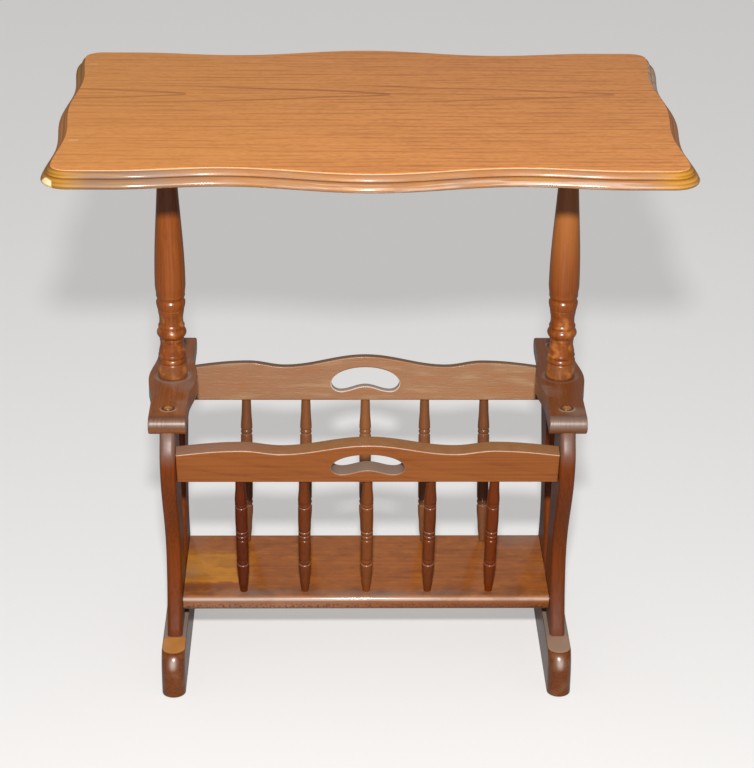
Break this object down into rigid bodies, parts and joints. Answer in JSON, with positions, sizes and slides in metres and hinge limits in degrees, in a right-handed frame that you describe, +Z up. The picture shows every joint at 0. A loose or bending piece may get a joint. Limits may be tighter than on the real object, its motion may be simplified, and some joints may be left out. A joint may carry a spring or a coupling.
{
  "type": "magazine stand",
  "caption": "Wooden magazine stand: a scalloped table top on turned posts, over a shelf with leaning spindle racks between S-shaped legs on runner feet.",
  "frame": {"origin": "on the floor, under the middle of the stand", "axes": "+Z up, +X along the table top to the right of the picture, +Y to the rear, so the front looks along -Y"},
  "size_m": [0.6096, 0.4064, 0.601],
  "materials": {
    "top_wood": "clear satin lacquer over straight-grained wood, worn at the edges",
    "post_wood": "glossy red-brown stain",
    "cap_wood": "semi-gloss brown stain, dulled on top",
    "leg_wood": "semi-gloss red-brown stain",
    "runner_wood": "semi-gloss dark brown stain, rubbed at the toes",
    "rail_wood": "semi-gloss mid-brown stain",
    "spindle_wood": "glossy red-brown stain",
    "shelf_wood": "semi-gloss mid-brown stain, scuffed",
    "button_wood": "dark stain",
    "cleat_wood": "bare wood",
    "dowel_wood": "bare wood",
    "screw_steel": "zinc-plated"
  },
  "bodies": {
    "root": {"table_top": "top_wood", "top_cleat_left": "cleat_wood", "top_cleat_right": "cleat_wood", "post_left": "post_wood", "post_right": "post_wood", "cap_left": "cap_wood", "cap_right": "cap_wood", "leg_front_left": "leg_wood", "leg_rear_left": "leg_wood", "leg_front_right": "leg_wood", "leg_rear_right": "leg_wood", "runner_left": "runner_wood", "runner_right": "runner_wood", "rail_front": "rail_wood", "rail_rear": "rail_wood", "shelf": "shelf_wood", "spindle_front_1": "spindle_wood", "spindle_front_2": "spindle_wood", "spindle_front_3": "spindle_wood", "spindle_front_4": "spindle_wood", "spindle_front_5": "spindle_wood", "spindle_rear_1": "spindle_wood", "spindle_rear_2": "spindle_wood", "spindle_rear_3": "spindle_wood", "spindle_rear_4": "spindle_wood", "spindle_rear_5": "spindle_wood", "cleat_screw_left_1": "screw_steel", "cleat_screw_left_2": "screw_steel", "cleat_screw_left_3": "screw_steel", "cleat_screw_left_4": "screw_steel", "cleat_screw_right_1": "screw_steel", "cleat_screw_right_2": "screw_steel", "cleat_screw_right_3": "screw_steel", "cleat_screw_right_4": "screw_steel", "cap_screw_front_left": "screw_steel", "cap_screw_rear_left": "screw_steel", "cap_screw_front_right": "screw_steel", "cap_screw_rear_right": "screw_steel", "runner_screw_front_left": "screw_steel", "runner_screw_rear_left": "screw_steel", "runner_screw_front_right": "screw_steel", "runner_screw_rear_right": "screw_steel", "cap_button_front_left": "button_wood", "cap_button_rear_left": "button_wood", "cap_button_front_right": "button_wood", "cap_button_rear_right": "button_wood", "shelf_dowel_front_left": "dowel_wood", "shelf_dowel_rear_left": "dowel_wood", "shelf_dowel_front_right": "dowel_wood", "shelf_dowel_rear_right": "dowel_wood", "rail_dowel_front_left": "dowel_wood", "rail_dowel_rear_left": "dowel_wood", "rail_dowel_front_right": "dowel_wood", "rail_dowel_rear_right": "dowel_wood"}
  },
  "joints": []
}
